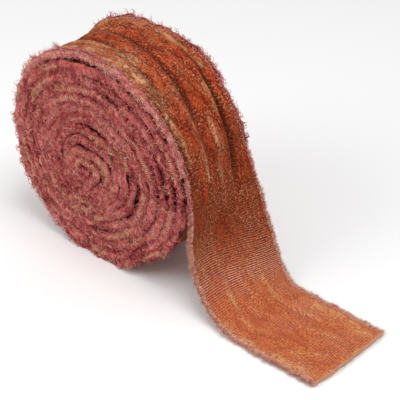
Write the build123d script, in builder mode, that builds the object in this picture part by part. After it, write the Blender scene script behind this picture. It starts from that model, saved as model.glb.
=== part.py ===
"""Coreless roll of crushed velvet ribbon with its free end laid out in front of it.

The ribbon is one strip of cloth.  It is divided here along straight lines across its width, where the
real strip bends when it is unrolled, so that each length between two such lines is its own solid.
The roll's axis runs along Y.  The free end leaves the roll on the +X side and lies on the surface at Z = 0.
"""
import os

from build123d import *

os.makedirs("parts", exist_ok=True)

# ---- driving dimensions, mm ----
cloth_width = 46.0        # sound velvet between the two frayed edges
fray_length = 2.4         # loose yarn ends standing out of each long edge
fold_radius = 0.7         # inside of the fold at the inner end of the ribbon
lap_pitch = 5.6           # growth of the roll per turn
strip_thickness = 3.0     # cloth with its pile, as crumpled in the roll
fray_thickness = 1.6      # mat of loose yarns, thinner than the cloth they come out of
turn_count = 10           # full turns under the outermost lap
sliding_turns = 4         # innermost turns that can be pushed sideways
flat_run = 6.0            # straight run at the top and bottom of every turn: the roll has slumped a little
tongue_length = 7.0       # inner end of the ribbon, folded back flat inside the first turn
drop_length = 17.0        # free end hanging straight down from the 3 o'clock line
lying_length = 50.5       # free end lying flat, from the end of the bend to the cut
tip_length = 24.0         # the part of it beyond the curl line
tail_spread = 4.5         # growth of half the width by the end of the bend, where the cloth lies uncrushed
tail_drift = 4.5          # the free end lies this far to the near side of the roll by the end of the bend

# ---- derived sizes ----
eye_radius = fold_radius + strip_thickness + lap_pitch / 2       # front arcs' centre to the innermost turn's pile
roll_radius = eye_radius + lap_pitch * turn_count                # the same to the pile of the outermost lap
axis_height = roll_radius - lap_pitch                            # the outermost full turn rests on Z = 0
bend_radius = axis_height - drop_length - strip_thickness        # to the pile, inside the bend
front_x = flat_run / 2                                           # centre of every front arc
back_x = -flat_run / 2                                           # centre of every back arc
back_rise = lap_pitch / 2                                        # back arcs' centres above the front ones
pile_x = front_x + roll_radius                                   # pile of the hanging length
bend_x = pile_x + bend_radius                                    # centre of the bend, end of its arc
curl_x = bend_x + lying_length - tip_length
cut_x = bend_x + lying_length
fray_inset = (strip_thickness - fray_thickness) / 2
half_cloth = cloth_width / 2
widest_half = half_cloth + fray_length + tail_spread + tail_drift + 1  # rough stock for the free end

lap_angles = [90, 60, 30, 0]          # the outermost lap's bend lines, degrees above the 3 o'clock line
bend_angles = [180, 225, 270]         # the floor bend's lines, about the bend's own centre

side_plane = Plane(origin=(0, 0, axis_height), x_dir=(1, 0, 0), z_dir=(0, -1, 0))
plan_plane = Plane.XY.offset(-1)
frayed_sides = [
    ("near", side_plane.offset(half_cloth), fray_length),
    ("far", side_plane.offset(-half_cloth), -fray_length),
]


def make_turns(name, numbers, plane, inset, skin, amount, both=False):
    """Full turns, each from 12 o'clock round the front, bottom and back to 12 o'clock again."""
    with BuildPart() as turns:
        for number in numbers:
            outer = eye_radius + lap_pitch * (number - 1) - inset
            inner = outer - skin
            with BuildSketch(plane):
                with BuildLine():
                    for radius in (outer, inner):
                        CenterArc((front_x, 0), radius, 90, -180)
                        Line((front_x, -radius), (back_x, -radius))
                        CenterArc((back_x, back_rise), radius + back_rise, 270, -180)
                        Line((back_x, radius + lap_pitch), (front_x, radius + lap_pitch))
                    Line((front_x, inner), (front_x, outer))
                    Line((front_x, inner + lap_pitch), (front_x, outer + lap_pitch))
                make_face()
            extrude(amount=amount, both=both)
    save(turns, name)


def make_inner_end(name, plane, inset, skin, amount, both=False):
    """Where the winding began: a short tongue folded back once, filling the eye of the roll."""
    outer = fold_radius + strip_thickness - inset
    inner = outer - skin
    tongue_x = back_x + tongue_length
    with BuildPart() as inner_end:
        with BuildSketch(plane):
            with BuildLine():
                for radius in (outer, inner):
                    Line((tongue_x, back_rise - radius), (back_x, back_rise - radius))
                    CenterArc((back_x, back_rise), radius, 270, -180)
                    Line((back_x, back_rise + radius), (front_x, back_rise + radius))
                Line((tongue_x, back_rise - outer), (tongue_x, back_rise - inner))
                Line((front_x, back_rise + outer), (front_x, back_rise + inner))
            make_face()
        extrude(amount=amount, both=both)
    save(inner_end, name)


def make_lap(name, start, stop, plane, inset, skin, amount, both=False):
    """A length of the outermost lap between two bend lines; its ends are radial."""
    outer = roll_radius - inset
    inner = outer - skin
    with BuildPart() as lap:
        with BuildSketch(plane):
            with BuildLine():
                inner_arc = CenterArc((front_x, 0), inner, start, stop - start)
                outer_arc = CenterArc((front_x, 0), outer, start, stop - start)
                Line(inner_arc @ 0, outer_arc @ 0)
                Line(inner_arc @ 1, outer_arc @ 1)
            make_face()
        extrude(amount=amount, both=both)
    save(lap, name)


def make_bend(name, start, stop, outline, inset, skin):
    """Half of the floor bend: the pile is on the inside of the curve."""
    low = bend_radius + inset
    high = low + skin
    with BuildPart() as bend:
        with BuildSketch(side_plane):
            with BuildLine():
                pile_arc = CenterArc((bend_x, -drop_length), low, start, stop - start)
                back_arc = CenterArc((bend_x, -drop_length), high, start, stop - start)
                Line(pile_arc @ 0, back_arc @ 0)
                Line(pile_arc @ 1, back_arc @ 1)
            make_face()
        extrude(amount=widest_half, both=True)
        with BuildSketch(plan_plane):
            with BuildLine():
                Polyline(*outline, close=True)
            make_face()
        extrude(amount=axis_height + 2, mode=Mode.INTERSECT)
    save(bend, name)


def make_straight(name, x_low, x_high, z_low, z_high, outline):
    """A straight length of the free end: the hanging length, the flat length or the tip."""
    with BuildPart() as straight:
        with BuildSketch(side_plane):
            with BuildLine():
                Polyline((x_low, z_low), (x_high, z_low), (x_high, z_high), (x_low, z_high), close=True)
            make_face()
        extrude(amount=widest_half, both=True)
        with BuildSketch(plan_plane):
            with BuildLine():
                Polyline(*outline, close=True)
            make_face()
        extrude(amount=axis_height + 2, mode=Mode.INTERSECT)
    save(straight, name)


def band_seen_from_above(side, inner_half, outer_half):
    """Plan of one band of the free end, which widens and drifts sideways until the end of the bend."""
    inner_lying = side * (inner_half + (tail_spread if inner_half > 0 else -tail_spread)) - tail_drift
    outer_lying = side * (outer_half + tail_spread) - tail_drift
    return [
        (pile_x - strip_thickness, side * inner_half),
        (pile_x, side * inner_half),
        (bend_x, inner_lying),
        (cut_x, inner_lying),
        (cut_x, outer_lying),
        (bend_x, outer_lying),
        (pile_x, side * outer_half),
        (pile_x - strip_thickness, side * outer_half),
    ]


def make_tail(prefix, outline, inset, skin):
    """One band of the whole free end, length by length: the cloth itself or one of its frayed edges."""
    right = pile_x - inset
    low = inset - axis_height
    make_straight(f"{prefix}tail_drop", right - skin, right, -drop_length, 0, outline)
    make_bend(f"{prefix}bend_upper", bend_angles[0], bend_angles[1], outline, inset, skin)
    make_bend(f"{prefix}bend_lower", bend_angles[1], bend_angles[2], outline, inset, skin)
    make_straight(f"{prefix}tail_flat", bend_x, curl_x, low, low + skin, outline)
    make_straight(f"{prefix}tail_tip", curl_x, cut_x, low, low + skin, outline)


def save(piece, name):
    piece.part.label = name
    export_step(piece.part, f"parts/{name}.step")


# ---- the wound turns: sound cloth ----
make_inner_end("inner_end", side_plane, 0, strip_thickness, half_cloth, both=True)
turn_names = ["centre_curl"] + [f"turn_{n:02d}" for n in range(2, turn_count + 1)]
for number, turn_name in enumerate(turn_names, start=1):
    make_turns(turn_name, [number], side_plane, 0, strip_thickness, half_cloth, both=True)

# ---- the wound turns: frayed edges; those of the turns that stay put are one mat on each side ----
for side_name, face_plane, amount in frayed_sides:
    make_inner_end(f"{side_name}_fray_inner_end", face_plane, fray_inset, fray_thickness, amount)
    for number in range(1, sliding_turns + 1):
        fray_name = f"{side_name}_fray_{turn_names[number - 1]}"
        make_turns(fray_name, [number], face_plane, fray_inset, fray_thickness, amount)
    fixed_turns = range(sliding_turns + 1, turn_count + 1)
    make_turns(f"{side_name}_fray_roll", fixed_turns, face_plane, fray_inset, fray_thickness, amount)

# ---- the outermost lap, from 12 o'clock down to the line where the ribbon leaves the roll ----
lap_names = ["lap_top", "lap_shoulder", "lap_front"]
for lap_name, start, stop in zip(lap_names, lap_angles[:-1], lap_angles[1:]):
    make_lap(lap_name, start, stop, side_plane, 0, strip_thickness, half_cloth, both=True)
    for side_name, face_plane, amount in frayed_sides:
        fray_name = f"{side_name}_fray_{lap_name}"
        make_lap(fray_name, start, stop, face_plane, fray_inset, fray_thickness, amount)

# ---- the free end: hanging length, floor bend in two halves, flat length and tip ----
make_tail("", band_seen_from_above(1, -half_cloth, half_cloth), 0, strip_thickness)
for side_name, side in (("near", -1), ("far", 1)):
    fray_outline = band_seen_from_above(side, half_cloth, half_cloth + fray_length)
    make_tail(f"{side_name}_fray_", fray_outline, fray_inset, fray_thickness)
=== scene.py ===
import bisect
import math
import random

import bmesh
import bpy
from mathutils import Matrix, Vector, noise


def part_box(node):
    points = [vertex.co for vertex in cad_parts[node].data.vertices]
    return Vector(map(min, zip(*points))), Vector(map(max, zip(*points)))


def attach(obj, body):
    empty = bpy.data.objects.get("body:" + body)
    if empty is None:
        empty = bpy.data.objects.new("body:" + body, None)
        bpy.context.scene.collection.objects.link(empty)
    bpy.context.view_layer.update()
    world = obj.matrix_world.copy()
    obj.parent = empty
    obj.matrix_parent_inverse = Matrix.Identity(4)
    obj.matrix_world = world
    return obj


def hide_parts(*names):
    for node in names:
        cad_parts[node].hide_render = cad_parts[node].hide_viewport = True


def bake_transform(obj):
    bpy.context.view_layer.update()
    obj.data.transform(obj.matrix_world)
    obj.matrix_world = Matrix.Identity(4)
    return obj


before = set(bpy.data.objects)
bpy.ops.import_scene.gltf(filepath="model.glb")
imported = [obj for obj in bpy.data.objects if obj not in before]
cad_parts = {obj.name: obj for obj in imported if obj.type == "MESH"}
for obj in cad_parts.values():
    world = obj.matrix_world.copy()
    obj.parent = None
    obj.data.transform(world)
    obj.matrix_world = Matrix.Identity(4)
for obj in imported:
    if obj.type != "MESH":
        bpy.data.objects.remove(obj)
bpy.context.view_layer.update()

# ---- the ribbon's path through the roll and out along the surface ----
# One strip of cloth, wound ten turns on nothing, goes once more over the top of the roll,
# hangs down its front and lies out flat.  Seen from the side it is a run of plain arcs and straights.
outer_low, outer_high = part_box("turn_10")
inner_low, inner_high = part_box("turn_09")
flat_low, flat_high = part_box("tail_flat")
tip_low, tip_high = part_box("tail_tip")
drop_low, drop_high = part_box("tail_drop")
turns = 10
pitch = outer_high.x - inner_high.x
roll_radius = (outer_high.z - outer_low.z + pitch) / 2
axis_z = roll_radius - pitch
front_x = outer_high.x - axis_z
strip = flat_high.z - flat_low.z
half_cloth = outer_high.y
fray = -half_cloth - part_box("near_fray_roll")[0].y
drop = drop_high.z - drop_low.z
bend_radius = axis_z - drop - strip / 2
half_tail = (tip_high.y - tip_low.y) / 2
tail_drift = (tip_high.y + tip_low.y) / 2

stretches = []
turn_starts = []
along = 0.0
eye_reach = roll_radius - pitch * (turns + 0.5) - strip / 2
tongue_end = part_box("inner_end")[1].x
spot, heading = Vector((tongue_end, 0, axis_z + pitch / 2 - eye_reach)), math.pi


def wind_on(length, curve):
    """Adds one arc or straight to the path: curve is one over its radius, turning left when above zero."""
    global along, spot, heading
    stretches.append((along, spot.copy(), heading, curve))
    if abs(curve) < 1e-9:
        spot = spot + Vector((math.cos(heading), 0, math.sin(heading))) * length
    else:
        turned = heading + length * curve
        swing = Vector((math.sin(turned) - math.sin(heading), 0, math.cos(heading) - math.cos(turned)))
        spot = spot + swing / curve
        heading = turned
    along += length


wind_on(tongue_end + front_x, 0)
wind_on(math.pi * eye_reach, -1 / eye_reach)
wind_on(2 * front_x, 0)
for turn in range(turns):
    reach = roll_radius - pitch * (turns - turn) - strip / 2
    turn_starts.append(along)
    wind_on(math.pi * reach, -1 / reach)
    wind_on(2 * front_x, 0)
    wind_on(math.pi * (reach + pitch / 2), -1 / (reach + pitch / 2))
    wind_on(2 * front_x, 0)
lap_start = along
lap_reach = roll_radius - strip / 2
wind_on(math.pi / 2 * lap_reach, -1 / lap_reach)
drop_start = along
wind_on(drop, 0)
bend_start = along
wind_on(math.pi / 2 * bend_radius, 1 / bend_radius)
flat_start = along
wind_on(tip_low.x - flat_low.x, 0)
tip_start = along
wind_on(tip_high.x - tip_low.x, 0)
cut = along
stretch_starts = [stretch[0] for stretch in stretches]


def smooth_step(value, low, high):
    t = max(0.0, min(1.0, (value - low) / (high - low)))
    return t * t * (3 - 2 * t)


def swell(value, low, high):
    """Rises from 0 to 1 in the middle of a stretch and falls back to 0."""
    middle = (low + high) / 2
    return smooth_step(value, low, middle) * (1 - smooth_step(value, middle, high))


def bell(value, middle, width):
    return math.exp(-((value - middle) / width) ** 2)


def slump(place):
    """Soft turns wound on nothing settle: the middle sits low and to the back, and no turn is quite round."""
    out = Vector((place.x, 0, place.z - axis_z))
    reach = out.length
    clock = math.atan2(out.z, out.x)
    out.normalize()
    inside = smooth_step(roll_radius + 0.004 - reach, 0, 0.022)
    sag = max(0.0, 1 - reach / roll_radius)
    wander = noise.noise_vector(Vector((place.x, 0.0, place.z)) * 34 + Vector((3.1, 0, 0.7)))
    dent = 0.0045 * bell(clock, -0.87, 0.34) * smooth_step(reach, 0.01, roll_radius)
    dent *= 1 - smooth_step(reach, roll_radius + 0.004, roll_radius + 0.012)
    bulge = 0.0022 * bell(clock, 2.5, 0.4) * smooth_step(reach, 0.03, roll_radius)
    shift = Vector((-0.009 * sag + 0.0026 * wander.x * inside, 0, -0.006 * sag + 0.0026 * wander.z * inside))
    return shift + out * (bulge - dent)


def ribbon_at(s):
    """Middle of the strip at a distance along it, the direction it runs in and the way its pile faces."""
    base, start, turned, curve = stretches[max(0, bisect.bisect_right(stretch_starts, s) - 1)]
    run = s - base
    angle = turned + run * curve
    if abs(curve) < 1e-9:
        place = start + Vector((math.cos(angle), 0, math.sin(angle))) * run
    else:
        swing = Vector((math.sin(angle) - math.sin(turned), 0, math.cos(turned) - math.cos(angle)))
        place = start + swing / curve
    forward = Vector((math.cos(angle), 0, math.sin(angle)))
    pile = Vector((-forward.z, 0, forward.x))
    if s < drop_start + 0.03:
        place = place + slump(place)
    wound = 1 - smooth_step(s, turn_starts[9], turn_starts[9] + 0.1)
    loose = 0.0013 * noise.noise(Vector((s * 1000 / 30, 3.3, 8.8))) * wound
    return place + pile * loose, forward, pile


def half_width(s, side):
    """Sound cloth from the middle to one edge: worn back at the top of the near edge, drawn in at the front."""
    width = half_cloth + (half_tail - half_cloth) * smooth_step(s, drop_start - 0.02, flat_start)
    if side < 0:
        width -= 0.0045 * swell(s - lap_start, -0.085, 0.035)
    else:
        width -= 0.0014 * swell(s - lap_start, 0.03, 0.10)
    return width


# The crush folds of the outer lap and the free end.  Each runs from one place to another on the cloth:
# mm along the ribbon from 12 o'clock and mm across it at both ends, then its half width, its height
# (a valley when below zero) and how flat its pile is crushed, from 0 to 1, which the pile's finish
# draws as gold, partly painted highlight.
crush_folds = [
    (-60, 17, 70, -7, 2.7, -1.9, 0.0),
    (-60, 24, 45, 4, 2.2, 1.1, 0.3),
    (-60, 6, 62, -20, 2.6, -1.8, 0.0),
    (-50, 10, 85, -13, 3.0, 1.1, 0.1),
    (18, -19, 98, -22, 1.8, -1.5, 0.0),
    (0, 22, 104, 8, 1.9, -3.3, 0.0),
    (-60, -14, 52, -17, 5.0, 0.5, 1.0),
    (-60, -4, 34, -9, 3.2, 0.3, 0.75),
    (-60, 17, 25, 21, 4.0, 0.5, 0.6),
    (38, -18, 76, -18, 1.0, 0.9, 1.0),
    (52, 4, 80, 2, 0.9, 0.8, 1.0),
    (30, 14, 58, 10, 0.9, 0.7, 0.9),
    (62, -8, 88, -9, 0.8, 0.7, 0.9),
    (50, -3, 110, 2, 2.4, 0.8, 0.0),
    (95, 14, 112, 2, 1.2, 0.5, 0.7),
    (132, 11, 202, 15, 1.3, 0.6, 1.0),
    (150, 13, 196, 11, 1.0, -0.5, 0.0),
    (136, -7, 178, -16, 1.0, 0.5, 1.0),
    (172, 23, 232, 21, 4.5, 0.1, 0.9),
    (150, -26, 232, -23, 3.2, 0.1, 0.9),
    (194, -19, 217, -5, 1.1, 0.4, 0.9),
    (200, -15, 212, -12, 0.7, -0.4, 0.0),
    (208, -24, 223, -22, 0.9, 0.3, 0.9),
    (190, 4, 215, 9, 1.6, 0.2, 0.5),
]


def crush(s, across):
    """Height of the crushed cloth over the strip's middle in metres, and its crush, drawn as gold and painted
    highlight.
    """
    mm_s, mm_v = s * 1000, across * 1000
    free = smooth_step(s, turn_starts[9] + 0.05, lap_start - 0.02)
    laid = smooth_step(s, bend_start, flat_start)
    sway = noise.noise(Vector((mm_s / 60, 0.3, 7.0))) * 4
    long_fold = 1 - 2 * abs(noise.noise(Vector((mm_s / 75, (mm_v + sway) / 8.5, 1.7))))
    short_fold = 1 - 2 * abs(noise.noise(Vector((mm_s / 24, (mm_v + sway) / 5.0, 5.2))))
    pucker = noise.noise(Vector((mm_s / 7, mm_v / 3.2, 9.4)))
    depth = 0.55 + free * 0.1 - laid * 0.35
    height = depth * (0.9 * long_fold + 0.45 * short_fold - 0.6) + 0.22 * pucker
    gleam = 0.0
    run = mm_s - lap_start * 1000
    for start, start_across, stop, stop_across, width, rise, crush_and_highlight in crush_folds:
        if not start < run < stop:
            continue
        share = (run - start) / (stop - start)
        middle = start_across + (stop_across - start_across) * share + 0.35 * sway
        shape = bell(mm_v, middle, width) * smooth_step(share, 0, 0.22) * (1 - smooth_step(share, 0.75, 1))
        height += rise * shape
        gleam = max(gleam, crush_and_highlight * shape)
    by_the_cut = smooth_step(s, cut - 0.003, cut - 0.0005)
    by_the_edge = laid * smooth_step(abs(across), half_tail - 0.004, half_tail - 0.0005)
    return height / 1000, max(gleam, 0.75 * by_the_cut, 0.75 * by_the_edge)


def cloth_point(s, share):
    """A point on the middle of the cloth: share runs from -1 at the near edge to 1 at the far edge."""
    place, forward, pile = ribbon_at(s)
    side = 1 if share > 0 else -1
    across = share * half_width(s, side)
    height, gleam = crush(s, across)
    mm_s = s * 1000
    height += 0.0011 * noise.noise(Vector((mm_s / 9, 20.0 * side, 0.0))) * share ** 8
    ragged = 0.0009 * noise.noise(Vector((mm_s / 14, 40.0 * side, 3.0)))
    ragged += 0.0009 * noise.noise(Vector((mm_s / 3.2, 60.0 * side, 3.0)))
    laid = smooth_step(s, flat_start - 0.02, flat_start + 0.005)
    height = max(height, -0.0007) * laid + height * (1 - laid)
    crown = 0.0030 * smooth_step(s - lap_start, -0.07, -0.03) * (1 - smooth_step(s - lap_start, 0.02, 0.06))
    height += crown * smooth_step(share, 0.3, 0.9)
    drift = tail_drift * smooth_step(s, bend_start + 0.012, flat_start + 0.012)
    point = place + pile * height + Vector((0, across + ragged * abs(share) ** 3 + drift, 0))
    flare = smooth_step(s, drop_start - 0.016, drop_start + 0.03)
    flare *= 1 - smooth_step(s, bend_start + 0.01, flat_start)
    point.x += 0.0115 * flare * smooth_step(share, -0.5, 1.0)
    point.x += 0.0012 * noise.noise(Vector((across * 1000 / 9, 5.5, 0.4))) * smooth_step(s, cut - 0.004, cut)
    point.z = max(point.z, cloth_thickness / 2 + 0.0001)
    return point, height, across, gleam


# ---- lengths of cloth ----
# Crushed velvet: a rose ground cloth woven of fine yarn with a copper pile on its outward side.
# Each length is cut from the one strip where the ribbon bends.
cloth_thickness = 0.0017


def make_cloth(name, start, stop, step, rows):
    """A flat grid the size of the length, laid along the path, given its thickness and its finishes."""
    columns = max(2, round((stop - start) / step))
    bm = bmesh.new()
    bmesh.ops.create_grid(bm, x_segments=columns, y_segments=rows, size=1.0)
    place = bm.verts.layers.float_vector.new("cloth_place")
    crushed_shine = bm.verts.layers.float.new("crushed_pile_and_highlight")
    for vert in bm.verts:
        s = start + (stop - start) * (vert.co.x + 1) / 2
        vert.co, height, across, vert[crushed_shine] = cloth_point(s, vert.co.y)
        vert[place] = Vector((s * 1000, across * 1000, height * 1000))
    bmesh.ops.recalc_face_normals(bm, faces=bm.faces)
    bm.faces.ensure_lookup_table()
    middle = bm.faces[len(bm.faces) // 2]
    if middle.normal.dot(ribbon_at(middle.verts[0][place].x / 1000)[2]) < 0:
        bmesh.ops.reverse_faces(bm, faces=bm.faces)
    bm.normal_update()
    for vert, outward in [(vert, vert.normal.copy()) for vert in bm.verts]:
        vert.co += outward * cloth_thickness / 2
    bmesh.ops.solidify(bm, geom=bm.faces[:], thickness=cloth_thickness)
    bm.normal_update()
    for face in bm.faces:
        s_face = sum(vert[place].x for vert in face.verts) / len(face.verts) / 1000
        face.material_index = 0 if face.normal.dot(ribbon_at(s_face)[2]) > 0.15 else 1
        face.smooth = True
    for edge in bm.edges:
        if len(edge.link_faces) == 2 and edge.calc_face_angle(0) > 1.1:
            edge.smooth = False
    mesh = bpy.data.meshes.new(name)
    bm.to_mesh(mesh)
    bm.free()
    mesh.materials.append(pile_finish)
    mesh.materials.append(ground_finish)
    piece = bpy.data.objects.new(name, mesh)
    bpy.context.scene.collection.objects.link(piece)
    return piece


def new_material(name):
    material = bpy.data.materials.new(name)
    material.use_nodes = True
    return material, material.node_tree.nodes, material.node_tree.links


def add_attribute(nodes, name, output):
    reader = nodes.new("ShaderNodeAttribute")
    reader.attribute_name = name
    return reader.outputs[output]


def add_noise(nodes, links, vector, scale, detail, rough, stretch=(1, 1, 1), shift=(0, 0, 0)):
    mapping = nodes.new("ShaderNodeMapping")
    mapping.inputs["Scale"].default_value = stretch
    mapping.inputs["Location"].default_value = shift
    texture = nodes.new("ShaderNodeTexNoise")
    texture.inputs["Scale"].default_value = scale
    texture.inputs["Detail"].default_value = detail
    texture.inputs["Roughness"].default_value = rough
    links.new(vector, mapping.inputs["Vector"])
    links.new(mapping.outputs["Vector"], texture.inputs["Vector"])
    return texture.outputs["Fac"]


def add_range(nodes, links, value, low, high, to_low=0.0, to_high=1.0):
    ranged = nodes.new("ShaderNodeMapRange")
    ranged.interpolation_type = "SMOOTHSTEP"
    for socket, amount in zip(("From Min", "From Max", "To Min", "To Max"), (low, high, to_low, to_high)):
        ranged.inputs[socket].default_value = amount
    links.new(value, ranged.inputs["Value"])
    return ranged.outputs["Result"]


def add_math(nodes, links, operation, first, second=0.0):
    node = nodes.new("ShaderNodeMath")
    node.operation = operation
    for socket, value in zip(node.inputs, (first, second)):
        if isinstance(value, (int, float)):
            socket.default_value = value
        else:
            links.new(value, socket)
    return node.outputs["Value"]


def add_mix(nodes, links, factor, first, second):
    node = nodes.new("ShaderNodeMix")
    node.data_type = "RGBA"
    for socket, value in ((node.inputs[0], factor), (node.inputs[6], first), (node.inputs[7], second)):
        if isinstance(value, (int, float)):
            socket.default_value = value
        elif isinstance(value, tuple):
            socket.default_value = (*value, 1)
        else:
            links.new(value, socket)
    return node.outputs[2]


def finish_cloth(nodes, links, colour, relief, depth, roughness, sheen, sheen_tint):
    shader = nodes["Principled BSDF"]
    links.new(colour, shader.inputs["Base Color"])
    shader.inputs["Roughness"].default_value = roughness
    shader.inputs["Specular IOR Level"].default_value = 0.06
    shader.inputs["Sheen Weight"].default_value = sheen
    shader.inputs["Sheen Roughness"].default_value = 0.4
    shader.inputs["Sheen Tint"].default_value = (*sheen_tint, 1)
    bump = nodes.new("ShaderNodeBump")
    bump.inputs["Strength"].default_value = 0.8
    bump.inputs["Distance"].default_value = depth
    links.new(relief, bump.inputs["Height"])
    links.new(bump.outputs["Normal"], shader.inputs["Normal"])


def velvet_pile():
    """Copper pile: painted shade in the folds, gold and painted highlight where crushed, weft lines where thin.
    """
    material, nodes, links = new_material("copper_velvet_pile")
    vector = add_attribute(nodes, "cloth_place", "Vector")
    parts = nodes.new("ShaderNodeSeparateXYZ")
    links.new(vector, parts.inputs["Vector"])
    # Each tone has a darker copy for the lap and a lighter one where the ribbon lies flat: painted light on the
    # flat end, painted shade on the lap.
    lying = add_range(nodes, links, parts.outputs["X"], drop_start * 1000 + 8, flat_start * 1000 - 12)
    copper = add_mix(nodes, links, lying, (0.38, 0.051, 0.013), (0.52, 0.116, 0.030))
    deep = add_mix(nodes, links, lying, (0.16, 0.0135, 0.0035), (0.38, 0.062, 0.015))
    rust_tone_and_fold_shade = add_mix(nodes, links, lying, (0.105, 0.011, 0.003), (0.26, 0.04, 0.012))
    shade = add_mix(nodes, links, lying, (0.022, 0.004, 0.002), (0.14, 0.025, 0.01))
    gold = add_mix(nodes, links, lying, (0.64, 0.35, 0.18), (0.69, 0.37, 0.16))
    mottled = add_noise(nodes, links, vector, 0.3, 4, 0.66, (0.4, 1, 0))
    colour = add_mix(nodes, links, add_range(nodes, links, mottled, 0.4, 0.6), deep, copper)
    # Painted shade: the pile darkens to a rust tone down in the fold valleys, by the cloth's height.
    valley_shade = add_range(nodes, links, parts.outputs["Z"], -1.3, 0.15, 1, 0)
    colour = add_mix(nodes, links, valley_shade, colour, rust_tone_and_fold_shade)
    # Painted shade: near black at the bottom of the deepest folds.
    bottom = add_range(nodes, links, parts.outputs["Z"], -3.0, -1.5, 1, 0)
    colour = add_mix(nodes, links, bottom, colour, shade)
    # Gold on the crushed pile, strongest on raised ridges: partly the crushed pile's own colour, partly painted
    # highlight.
    crushed_shine = add_noise(nodes, links, vector, 0.16, 6, 0.62, (0.22, 1, 0), (13, 4, 0))
    ridge_highlight = add_range(nodes, links, parts.outputs["Z"], -0.1, 1.1, 0.15, 1)
    shine = add_math(nodes, links, "MULTIPLY", add_range(nodes, links, crushed_shine, 0.5, 0.7, 0, 0.7), ridge_highlight)
    matted = add_noise(nodes, links, vector, 0.6, 5, 0.7, (0.5, 1, 0), (3, 8, 0))
    matted = add_range(nodes, links, matted, 0.3, 0.62)
    broken = add_noise(nodes, links, vector, 0.13, 3, 0.6, (0.7, 1, 0), (11, 5, 0))
    broken = add_range(nodes, links, broken, 0.42, 0.58, 0.3, 1)
    matted = add_math(nodes, links, "MULTIPLY", matted, broken)
    crush_and_highlight = add_math(nodes, links, "MULTIPLY", add_attribute(nodes, "crushed_pile_and_highlight", "Fac"), matted)
    shine = add_math(nodes, links, "MAXIMUM", shine, crush_and_highlight)
    colour = add_mix(nodes, links, shine, colour, gold)
    warp = add_noise(nodes, links, vector, 0.2, 2, 0.5, (1, 1, 0), (5, 9, 0))
    lines = add_math(nodes, links, "MULTIPLY", parts.outputs["X"], 2 * math.pi / 1.25)
    lines = add_math(nodes, links, "ADD", lines, add_math(nodes, links, "MULTIPLY", warp, 6.0))
    lines = add_range(nodes, links, add_math(nodes, links, "SINE", lines), -0.2, 0.9)
    thin = add_noise(nodes, links, vector, 0.06, 4, 0.55, (0.6, 1, 0), (2, 7, 0))
    thin = add_range(nodes, links, thin, 0.4, 0.55)
    front = add_range(nodes, links, parts.outputs["X"], lap_start * 1000 + 35, bend_start * 1000, 0, 1)
    worn = add_math(nodes, links, "MULTIPLY", front, add_range(nodes, links, lying, 0.75, 1, 1, 0.3))
    bent = add_range(nodes, links, parts.outputs["X"], bend_start * 1000 - 8, bend_start * 1000 + 8, 0.12, 0.5)
    showing = add_math(nodes, links, "MULTIPLY", add_math(nodes, links, "MAXIMUM", thin, bent), worn)
    colour = add_mix(nodes, links, add_math(nodes, links, "MULTIPLY", showing, 0.5), colour, rust_tone_and_fold_shade)
    light = add_math(nodes, links, "MULTIPLY", lines, showing)
    weft = add_mix(nodes, links, lying, (0.34, 0.08, 0.03), (0.98, 0.52, 0.38))
    colour = add_mix(nodes, links, light, colour, weft)
    grain = add_noise(nodes, links, vector, 1.1, 1, 0.6, (0.8, 1, 0), (1, 3, 0))
    patch = add_noise(nodes, links, vector, 0.09, 3, 0.6, (0.5, 1, 0), (7, 2, 0))
    patch = add_range(nodes, links, patch, 0.4, 0.6, 0.3, 1)
    speck = add_math(nodes, links, "MULTIPLY", patch, add_range(nodes, links, lying, 0, 1, 0.75, 1))
    bright = add_math(nodes, links, "MULTIPLY", add_range(nodes, links, grain, 0.52, 0.72, 0.0, 0.85), speck)
    colour = add_mix(nodes, links, bright, colour, gold)
    colour = add_mix(nodes, links, add_range(nodes, links, grain, 0.5, 0.28, 0.0, 0.85), colour, rust_tone_and_fold_shade)
    relief = add_math(nodes, links, "ADD", add_math(nodes, links, "MULTIPLY", light, 0.8), grain)
    finish_cloth(nodes, links, colour, relief, 0.0004, 0.8, 0.05, (1.0, 0.6, 0.3))
    return material


def ground_cloth():
    """The woven rose back of the velvet."""
    material, nodes, links = new_material("rose_ground_cloth")
    vector = add_attribute(nodes, "cloth_place", "Vector")
    blotch = add_range(nodes, links, add_noise(nodes, links, vector, 0.5, 5, 0.7, (0.5, 1, 0)), 0.35, 0.65)
    colour = add_mix(nodes, links, blotch, (0.15, 0.02, 0.016), (0.34, 0.08, 0.065))
    parts = nodes.new("ShaderNodeSeparateXYZ")
    links.new(vector, parts.inputs["Vector"])
    trimmed = add_range(nodes, links, parts.outputs["X"], cut * 1000 - 1.2, cut * 1000 - 0.4)
    colour = add_mix(nodes, links, trimmed, colour, (0.80, 0.46, 0.30))
    thread = add_noise(nodes, links, vector, 2.2, 3, 0.6, (1, 0.35, 0))
    straw = add_range(nodes, links, thread, 0.45, 0.7, 0, 0.5)
    colour = add_mix(nodes, links, straw, colour, (0.5, 0.22, 0.13))
    finish_cloth(nodes, links, colour, thread, 0.00025, 0.9, 0.15, (1.0, 0.7, 0.66))
    return material


pile_finish = velvet_pile()
ground_finish = ground_cloth()

# ---- the frayed edges ----
# Both long edges are torn, not hemmed: the warp has dropped out and leaves the rose weft yarns standing.
# In the roll they are curled and matted into a felt that bridges the turns; along the free end they are
# short, fine and straight.
yarn_tones = {
    "crimson_yarn": (0.33, 0.030, 0.040),
    "rose_yarn": (0.66, 0.135, 0.135),
    "pale_pink_yarn": (0.88, 0.38, 0.34),
    "beige_yarn": (0.80, 0.44, 0.26),
    "bleached_yarn": (0.94, 0.64, 0.50),
}


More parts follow.
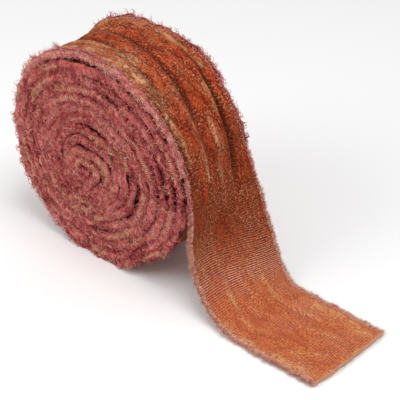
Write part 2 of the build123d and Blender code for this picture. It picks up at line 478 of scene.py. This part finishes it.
def yarn_material(name, tone):
    material, nodes, links = new_material(name)
    place = nodes.new("ShaderNodeTexCoord").outputs["Object"]
    strand = add_noise(nodes, links, place, 1100, 2, 0.6)
    darker = tuple(0.55 * channel for channel in tone)
    colour = add_mix(nodes, links, add_range(nodes, links, strand, 0.35, 0.65), darker, tone)
    finish_cloth(nodes, links, colour, strand, 0.00005, 0.85, 0.15, (1.0, 0.75, 0.7))
    return material


def matted_felt():
    """Curled yarn ends matted together: rose fibres over crimson, ribbed and golden where the weave is left."""
    material, nodes, links = new_material("matted_rose_felt")
    vector = add_attribute(nodes, "cloth_place", "Vector")
    place = nodes.new("ShaderNodeTexCoord").outputs["Object"]
    parts = nodes.new("ShaderNodeSeparateXYZ")
    links.new(vector, parts.inputs["Vector"])
    curl = add_noise(nodes, links, place, 420, 6, 0.75)
    shown = add_range(nodes, links, curl, 0.36, 0.6)
    colour = add_mix(nodes, links, shown, (0.15, 0.012, 0.015), (0.62, 0.12, 0.108))
    patch = add_noise(nodes, links, place, 75, 2, 0.5, (1, 1, 1), (0.2, 0.7, 0.4))
    patch = add_range(nodes, links, patch, 0.4, 0.62, 0, 0.45)
    colour = add_mix(nodes, links, patch, colour, (0.74, 0.26, 0.22))
    fibre = add_noise(nodes, links, place, 1300, 3, 0.7, (1, 1, 1), (0.3, 0.1, 0.2))
    fibre = add_range(nodes, links, fibre, 0.52, 0.66, 0, 0.75)
    colour = add_mix(nodes, links, fibre, colour, (0.70, 0.27, 0.23))
    rim = add_range(nodes, links, parts.outputs["X"], turn_starts[9] * 1000 + 150, lap_start * 1000 - 40, 0, 0.45)
    colour = add_mix(nodes, links, rim, colour, (0.84, 0.34, 0.28))
    off_crest = add_math(nodes, links, "ABSOLUTE", parts.outputs["Y"])
    # Painted highlight: a paler band along the crest of each turn's edge on the felt.
    ridge_highlight = add_range(nodes, links, off_crest, 0.0, 0.55, 0.4, 0)
    painted_contrast = add_noise(nodes, links, place, 48, 3, 0.6, (1, 1, 1), (0.9, 0.3, 0.6))
    painted_contrast = add_range(nodes, links, painted_contrast, 0.38, 0.6, 0.2, 1)
    ridge_highlight = add_math(nodes, links, "MULTIPLY", ridge_highlight, painted_contrast)
    colour = add_mix(nodes, links, ridge_highlight, colour, (0.84, 0.40, 0.31))
    crest = add_range(nodes, links, off_crest, 0.1, 0.45, 0.75, 0)
    ribs = add_math(nodes, links, "MULTIPLY", parts.outputs["X"], 2 * math.pi / 1.1)
    ribs = add_math(nodes, links, "SINE", ribs)
    ribbed = add_math(nodes, links, "MULTIPLY", parts.outputs["Z"], crest)
    raised = add_range(nodes, links, ribs, -0.5, 0.5)
    woven = add_mix(nodes, links, raised, (0.40, 0.13, 0.08), (0.86, 0.54, 0.34))
    colour = add_mix(nodes, links, ribbed, colour, woven)
    # Painted shade: near black in the gaps between turns.
    gap_shade = add_range(nodes, links, off_crest, 0.5, 1.0, 0, 0.85)
    gap_shade = add_math(nodes, links, "MULTIPLY", gap_shade, painted_contrast)
    colour = add_mix(nodes, links, gap_shade, colour, (0.07, 0.005, 0.006))
    relief = add_math(nodes, links, "ADD", curl, add_math(nodes, links, "MULTIPLY", ribs, ribbed))
    finish_cloth(nodes, links, colour, relief, 0.0005, 0.9, 0.1, (1.0, 0.7, 0.66))
    return material


yarn_finishes = [yarn_material(name, tone) for name, tone in yarn_tones.items()]
felt_finish = matted_felt()


def yarn_reach(s, side):
    """How far the yarns stand out of an edge: longest where the near edge is worn back over the roll."""
    return fray + (0.0026 * swell(s - lap_start, -0.085, 0.035) if side < 0 else 0.0)


def golden(s, side):
    """From 0 to 1: stretches of edge where the weave is left, ribbed and straw-coloured."""
    return smooth_step(noise.noise(Vector((s * 1000 / 34, 31.0 * side, 2.0))), 0.02, 0.22)


def pick_tone(pick, s, side, where):
    """Index into the yarn tones: rose and crimson in patches, paler round the near rim and on the free end."""
    pale = smooth_step(s, turn_starts[9] + 0.15, lap_start - 0.04)
    lying = smooth_step(s, drop_start - 0.01, bend_start)
    patch = smooth_step(noise.noise(where * 75 + Vector((0, 4.0, 0))), -0.25, 0.3)
    draw = pick.random()
    if draw < 0.012 + 0.25 * lying + 0.08 * pale * (1 - lying):
        return 4
    if draw < 0.08 + 0.5 * lying + 0.25 * golden(s, side) * (1 - lying):
        return 3
    if draw < 0.12 + 0.3 * patch + 0.35 * max(lying, pale) + 0.25 * lying:
        return 2
    return 1 if pick.random() < 0.45 + 0.5 * max(patch, pale) else 0


def add_yarn(strands, points, thickness, tone):
    spline = strands.splines.new("POLY")
    spline.points.add(len(points) - 1)
    spline.material_index = tone
    for number, (knot, where) in enumerate(zip(spline.points, points)):
        knot.co = (where.x, where.y, max(where.z, 0.00015), 1)
        knot.radius = thickness * (1.15 - 0.6 * number / (len(points) - 1))


def felt_point(s, share, side):
    """A point on the felt over one edge: share runs from -1, under the edge's turn, to 1, over it."""
    forward, pile = ribbon_at(s)[1:]
    edge = cloth_point(s, side * 0.995)[0]
    mm_s = s * 1000
    clock = math.atan2(edge.z - axis_z, edge.x)
    open_gap = smooth_step(noise.noise(Vector((mm_s / 26, 4.0, -70.0))), 0.0, 0.3) * bell(clock, -0.1, 0.9)
    open_gap *= 1.0 if side < 0 else 0.0
    outer = 0.55 if s > turn_starts[9] + 0.1 else 1.0
    reach = pitch / 2 * (1.12 - 0.5 * open_gap) * (outer if share > 0 else 1.0)
    lump = noise.noise(Vector((mm_s / 5, share * 1.3, 11.0 * side))) + 0.8 * noise.noise(edge * 130)
    pushed = 0.0016 * noise.noise(Vector((mm_s / 32, 8.0, 13.0 * side)))
    pushed += 0.0008 * noise.noise(Vector((mm_s / 11, 2.0, 5.0)))
    middle = 0.0026 * bell(math.hypot(edge.x + 0.009, edge.z - axis_z + 0.006), 0, 0.013)
    knot = noise.noise(Vector((mm_s / 1.3, share * 3.5, 17.0 * side)))
    arch = yarn_reach(s, side) * (0.66 - 0.4 * share * share) - 0.0009 * open_gap * share * share
    arch += 0.0010 * lump + 0.0005 * knot + max(pushed, -0.0008) + middle
    point = edge + pile * (reach * share + 0.0004 * lump) + Vector((0, side * arch, 0))
    point.z = max(point.z, 0.0006)
    return point


def add_curls(strands, start, stop, side, per_mm, pick):
    """Curled yarn ends lying over the felt in every direction, fewer where the weave is left."""
    for number in range(int((stop - start) * 1000 * per_mm)):
        s = pick.uniform(start, stop)
        sliding = s < turn_starts[5] + 0.01
        share = pick.uniform(-1, 1) * (0.6 if sliding else 1)
        if abs(share) < 0.4 and pick.random() < 0.55 * golden(s, side):
            continue
        where = felt_point(s, share, side) + Vector((0, side * 0.0001, 0))
        tone = pick_tone(pick, s, side, where)
        # Curls over the gaps between turns take the dark tones, matching the felt's painted shade there.
        painted_contrast = smooth_step(noise.noise(where * 48 + Vector((0.9, 0.3, 0.6))), -0.15, 0.25)
        if abs(share) > 0.6 and tone > 1 and pick.random() < 0.7 * painted_contrast:
            tone = pick.choice((0, 1))
        forward, pile = ribbon_at(s)[1:]
        heading = pick.uniform(0, 2 * math.pi)
        if sliding:
            heading = pick.choice((0, math.pi)) + pick.gauss(0, 0.4)
        curl = pick.choice((-1, 1)) * pick.uniform(0.4, 4.5)
        length = pick.uniform(0.0018, 0.003 if sliding else 0.0048)
        lift = pick.uniform(0.0002, 0.0012)
        points = []
        for step in range(5):
            points.append(where + Vector((0, side * lift * math.sin(math.pi * step / 4), 0)))
            where = where + (forward * math.cos(heading) + pile * math.sin(heading)) * length / 4
            heading += curl / 4
        add_yarn(strands, points, 1.4, tone)


def add_loose_ends(strands, start, stop, side, per_mm, pick):
    """Yarn ends standing out of the edge: crooked over the roll's rim, combed straight on the free end."""
    count = int((stop - start) * 1000 * per_mm)
    for number in range(count):
        s = start + (stop - start) * (number + pick.random()) / count
        point = cloth_point(s, side * (1 - 0.03 * pick.random()))[0]
        forward, pile = ribbon_at(s)[1:]
        wound = 1 - smooth_step(s, drop_start - 0.02, drop_start + 0.01)
        tilt = pick.gauss(0.25 * wound, 0.15 + 0.25 * wound)
        tuft = wound * smooth_step(noise.noise(Vector((s * 1000 / 5, 9.0, 2.0))), 0.08, 0.35) if side < 0 else 0.0
        tilt += 1.1 * tuft
        lean = pick.gauss(0, 0.2 + 0.4 * wound)
        out = (Vector((0, side, 0)) + pile * tilt + forward * lean).normalized()
        turned = (pile * pick.gauss(0, 1) + forward * pick.gauss(0, 1)).normalized()
        reach = yarn_reach(s, side) * pick.uniform(0.65, 1.3) * (1 - 0.3 * wound + 0.45 * tuft)
        curl = min(reach, 0.003) * (0.08 + 0.4 * wound * pick.random())
        base = point + pile * pick.uniform(-0.0006 * wound, 0.0007) - out * 0.0005
        if pick.random() < 0.5:
            base = point + pile * 0.0009 - out * 0.0014
        points = [base, base + out * reach * 0.4 + turned * curl * 0.3,
                  base + out * reach * 0.75 + turned * curl, base + out * reach + turned * curl * (1 + wound)]
        add_yarn(strands, points, 1.0 + 0.3 * wound, pick_tone(pick, s, side, point))


def add_cut_end(strands, side, pick):
    """Warp threads working loose along the cut, and short ends standing out of it."""
    steps = 14
    for offset, thickness in ((0.0005, 2.6), (0.0018, 1.3)):
        points = []
        for step in range(steps + 1):
            point = cloth_point(cut, side * step / steps)[0]
            wave = noise.noise(Vector((step / 2.5, 9.0 * side, offset * 3000)))
            points.append(point + Vector((offset + 0.0009 * wave * offset * 1000, 0, 0.0004)))
        add_yarn(strands, points, thickness, 3)
    for number in range(90):
        base = cloth_point(cut, side * pick.random())[0] + Vector((0, 0, 0.0007 * pick.random()))
        out = Vector((1, pick.gauss(0, 0.3), pick.gauss(0, 0.15))) * pick.uniform(0.0005, 0.0013)
        points = [base - out * 0.4, base + out * 0.5, base + out]
        add_yarn(strands, points, 0.6, 2 if pick.random() < 0.6 else 3)


def add_felt(bm, place, start, stop, side, felt_index):
    """The felt on a roll's flat side: a lumpy band that arches out over the edge of each turn."""
    columns = max(2, round((stop - start) / 0.0007))
    band = bmesh.ops.create_grid(bm, x_segments=columns, y_segments=10, size=1.0)["verts"]
    for vert in band:
        s = start + (stop - start) * (vert.co.x + 1) / 2
        share = vert.co.y
        vert.co = felt_point(s, share, side)
        vert[place] = Vector((s * 1000, share, golden(s, side)))
    faces = list({face for vert in band for face in vert.link_faces})
    bmesh.ops.recalc_face_normals(bm, faces=faces)
    if faces[0].normal.y * side < 0:
        bmesh.ops.reverse_faces(bm, faces=faces)
    grown = bmesh.ops.extrude_face_region(bm, geom=faces, use_keep_orig=True)["geom"]
    inner = [item for item in grown if isinstance(item, bmesh.types.BMVert)]
    bmesh.ops.translate(bm, vec=(0, -side * 0.0005, 0), verts=inner)
    shell = list({face for vert in band + inner for face in vert.link_faces})
    bmesh.ops.recalc_face_normals(bm, faces=shell)
    for face in shell:
        face.material_index = felt_index


def make_fray(name, start, stop, side, per_mm):
    """One frayed edge of a length of cloth: felt where it is wound, and its loose yarn ends."""
    pick = random.Random(name)
    strands = bpy.data.curves.new(name + "_strands", "CURVE")
    strands.dimensions = "3D"
    strands.bevel_depth = 0.0001
    strands.bevel_resolution = 0
    strands.use_fill_caps = True
    for finish in yarn_finishes:
        strands.materials.append(finish)
    felt_stop = min(stop, drop_start - 0.02)
    if felt_stop > start:
        add_curls(strands, start, felt_stop, side, per_mm, pick)
    if stop > turn_starts[9] + 0.001:
        dense = per_mm * (4 if stop > drop_start else 2)
        add_loose_ends(strands, max(start, turn_starts[9]), stop, side, dense, pick)
    if stop == cut:
        add_cut_end(strands, side, pick)
    holder = bpy.data.objects.new(name + "_strands", strands)
    mesh = bpy.data.meshes.new_from_object(holder)
    mesh.name = name
    bpy.data.objects.remove(holder)
    bpy.data.curves.remove(strands)
    mesh.materials.append(felt_finish)
    bm = bmesh.new()
    bm.from_mesh(mesh)
    place = bm.verts.layers.float_vector.new("cloth_place")
    if felt_stop > start:
        add_felt(bm, place, start, felt_stop, side, len(yarn_finishes))
    for face in bm.faces:
        face.smooth = True
    bm.to_mesh(mesh)
    bm.free()
    piece = bpy.data.objects.new(name, mesh)
    bpy.context.scene.collection.objects.link(piece)
    return piece


# ---- the wound turns that stay put ----
# Turns five to ten lie under the outer lap and don't move against each other.
def held_by(pieces, bodies, start, stop):
    """A length rides on one body; one between two bodies keeps its place, its transform baked into it."""
    for piece in pieces:
        if len(bodies) == 1:
            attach(piece, bodies[0])
        else:
            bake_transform(piece)


roll_turns = [f"turn_{number:02d}" for number in range(5, 11)]


def make_length(name, start, stop, bodies, stands_for, step, rows, per_mm):
    """One length of ribbon: its cloth, its two frayed edges, what they stand for and what carries them."""
    cloth = make_cloth(name, start, stop, step, rows)
    near = make_fray("near_fray_of_" + name, start, stop, -1, per_mm)
    far = make_fray("far_fray_of_" + name, start, stop, 1, per_mm * 0.7)
    margin = 0.1 * (stop - start)
    held_by((cloth, near, far), bodies, ribbon_at(start + margin)[0], ribbon_at(stop - margin)[0])
    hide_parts(*stands_for)
    for piece, side_name in ((near, "near"), (far, "far")):
        edges = {f"{side_name}_fray_{'roll' if node in roll_turns else node}" for node in stands_for}
        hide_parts(*sorted(edges))
    middle = (start + stop) / 2
    half_width(middle, -1) + half_width(middle, 1)


def quarter(number, share):
    """Distance along the ribbon at 3 o'clock (share 0) or 9 o'clock (share 1) of a turn, counted from 0."""
    reach = roll_radius - pitch * (turns - number) - strip / 2
    if share == 0:
        return turn_starts[number] + math.pi / 2 * reach
    return turn_starts[number] + math.pi * reach + 2 * front_x + math.pi / 2 * (reach + pitch / 2)


fine = 0.0008
lap_overlap = 0.025
for number in range(5, 11):
    begin = quarter(4, 0) if number == 5 else turn_starts[number - 1]
    outermost = number == 10
    end = lap_start - lap_overlap if outermost else turn_starts[number]
    make_length(f"wound_turn_{number:02d}", begin, end, ["roll"], [f"turn_{number:02d}"],
                fine if outermost else 0.002, 44 if outermost else 24, 5)

# ---- the four innermost turns, which slide out sideways one after another ----
# The lower half of each turn rides on its own body, and the upper half runs across to the next turn out, held by
# neither.
inner_bodies = ["centre_curl_coil", "coil_turn_02", "coil_turn_03", "coil_turn_04", "roll"]
inner_nodes = ["centre_curl", "turn_02", "turn_03", "turn_04", "turn_05"]
for number in range(4):
    begin = 0.0 if number == 0 else quarter(number, 0)
    stands_for = ["centre_curl", "inner_end"] if number == 0 else [inner_nodes[number]]
    make_length(f"lower_half_of_{inner_nodes[number]}", begin, quarter(number, 1), [inner_bodies[number]],
                stands_for, 0.0015, 20, 5)
    make_length(f"upper_half_from_{inner_nodes[number]}", quarter(number, 1), quarter(number + 1, 0),
                inner_bodies[number:number + 2], inner_nodes[number:number + 2], 0.0015, 20, 5)

# ---- the outer lap and the free end ----
# The ribbon goes once more over the top of the roll, hangs down its front, bends and lies flat.  Each length
# runs from the middle of one rigid part to the middle of the next, across the line between.
bends = ["roll", "lap_top", "lap_shoulder", "lap_front", "tail_drop",
         "bend_upper", "bend_lower", "tail_flat", "tail_tip"]
lap_third = (drop_start - lap_start) / 3
bend_half = (flat_start - bend_start) / 2
middles = [lap_start - lap_overlap, lap_start + lap_third / 2, lap_start + lap_third * 1.5,
           lap_start + lap_third * 2.5, drop_start + drop / 2, bend_start + bend_half / 2,
           bend_start + bend_half * 1.5, (flat_start + tip_start) / 2, cut]
for number in range(8):
    pair = [bends[number] + "_length" if number else "roll", bends[number + 1] + "_length"]
    stands_for = [node for node in bends[number:number + 2] if node != "roll"]
    make_length(f"free_length_{number + 1}", middles[number], middles[number + 1], pair, stands_for,
                fine, 64, 6)

# ---- floor, light and camera ----
floor_mesh = bpy.data.meshes.new("floor")
bm = bmesh.new()
bmesh.ops.create_grid(bm, x_segments=1, y_segments=1, size=3.0)
bm.to_mesh(floor_mesh)
bm.free()
floor = bpy.data.objects.new("floor", floor_mesh)
bpy.context.scene.collection.objects.link(floor)
floor_finish, floor_nodes, floor_links = new_material("white_floor")
floor_nodes["Principled BSDF"].inputs["Base Color"].default_value = (0.95, 0.95, 0.95, 1)
floor_nodes["Principled BSDF"].inputs["Roughness"].default_value = 0.9
floor_nodes["Principled BSDF"].inputs["Specular IOR Level"].default_value = 0.0
floor_mesh.materials.append(floor_finish)

world = bpy.data.worlds.new("studio")
bpy.context.scene.world = world
world.use_nodes = True
world.node_tree.nodes["Background"].inputs["Color"].default_value = (1, 1, 1, 1)
world.node_tree.nodes["Background"].inputs["Strength"].default_value = 0.55
bpy.context.scene.view_settings.view_transform = "Standard"

aim = Vector((0.047, 0.003, 0.0445))


def seen_from(azimuth, elevation):
    """Direction from the object towards a place given by its angle round from the near side and its height."""
    a, e = math.radians(azimuth), math.radians(elevation)
    return Vector((math.sin(a) * math.cos(e), -math.cos(a) * math.cos(e), math.sin(e)))


def add_softbox(name, azimuth, elevation, distance, size, watts):
    """A square area light aimed at the object."""
    light = bpy.data.lights.new(name, "AREA")
    light.size = size
    light.energy = watts
    lamp = bpy.data.objects.new(name, light)
    lamp.location = aim + seen_from(azimuth, elevation) * distance
    lamp.rotation_euler = seen_from(azimuth, elevation).to_track_quat("Z", "Y").to_euler()
    bpy.context.scene.collection.objects.link(lamp)


add_softbox("overhead_softbox", 70, 72, 0.9, 0.5, 4.2)
add_softbox("side_softbox", -25, 35, 1.1, 0.6, 4.0)

camera_data = bpy.data.cameras.new("camera")
camera_data.sensor_width = 36
camera_data.lens = 135.6
camera_data.clip_end = 20
camera = bpy.data.objects.new("camera", camera_data)
camera.location = aim + seen_from(42.1, 33.1) * 0.78
camera.rotation_euler = seen_from(42.1, 33.1).to_track_quat("Z", "Y").to_euler()
bpy.context.scene.collection.objects.link(camera)
bpy.context.scene.camera = camera
